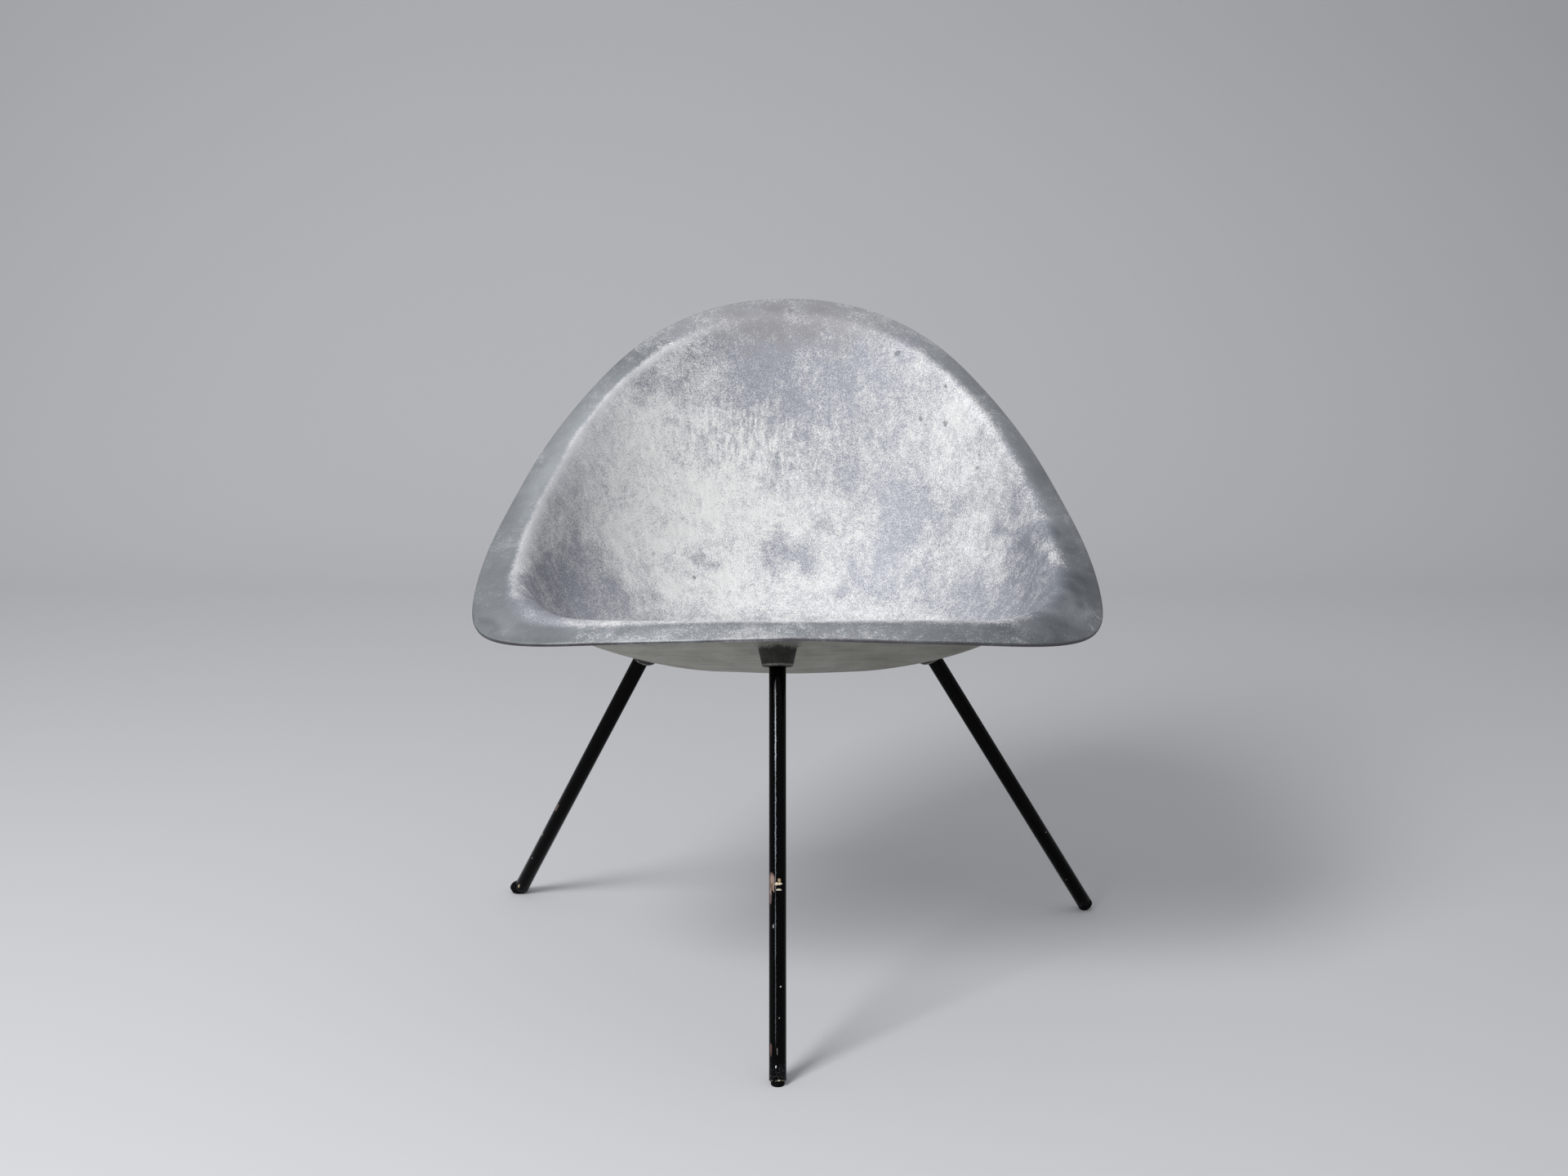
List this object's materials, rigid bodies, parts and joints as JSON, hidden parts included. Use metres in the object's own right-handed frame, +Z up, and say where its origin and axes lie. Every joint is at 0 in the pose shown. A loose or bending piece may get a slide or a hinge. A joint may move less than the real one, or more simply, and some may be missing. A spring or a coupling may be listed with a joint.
{
  "type": "bucket chair",
  "caption": "Cast metal bucket chair with its dished seat and back in a single casting, a rolled lip, and straight splayed tube legs on rubber feet.",
  "frame": {"origin": "bottom centre of the whole chair's bounding box, on the floor", "axes": "+Z up from the floor, -Y towards the front of the seat, +X to the right in the front view"},
  "size_m": [0.6498, 0.5368, 0.665],
  "materials": {
    "cast_aluminium": "bare sand casting, dull grey with pale mottled oxide",
    "black_paint": "satin black paint on steel tube, chipped",
    "turned_steel": "plain turned steel",
    "black_rubber": "matte black rubber, scuffed"
  },
  "bodies": {
    "root": {"seat_shell": "cast_aluminium", "front_leg_tube": "black_paint", "left_rear_leg_tube": "black_paint", "right_rear_leg_tube": "black_paint", "front_leg_top_insert": "turned_steel", "left_rear_leg_top_insert": "turned_steel", "right_rear_leg_top_insert": "turned_steel", "front_foot_plug": "black_rubber", "left_rear_foot_button": "black_rubber", "right_rear_foot_plug": "black_rubber"}
  },
  "joints": []
}
